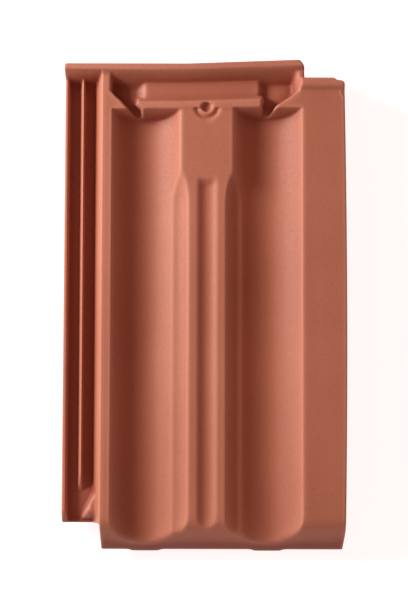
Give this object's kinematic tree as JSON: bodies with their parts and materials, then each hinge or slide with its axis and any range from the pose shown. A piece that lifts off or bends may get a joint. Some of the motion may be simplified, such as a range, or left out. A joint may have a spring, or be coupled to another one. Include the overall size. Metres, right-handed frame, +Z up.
{
  "type": "clay roof tile",
  "caption": "Interlocking clay roof tile with round troughs, side lock, cover flange, head channel with drains, sloping foot and hanging nibs.",
  "frame": {"origin": "centre of the bounding box's base, on the floor that the nibs and the foot rib rest on", "axes": "+X across the tile from the side lock to the cover flange, +Y along the tile from the foot to the head, +Z up out of the weather face"},
  "size_m": [0.2604, 0.451, 0.0425],
  "materials": {
    "fired_clay": "matt engobe on fired clay"
  },
  "bodies": {
    "root": {"roof_tile": "fired_clay"}
  },
  "joints": []
}
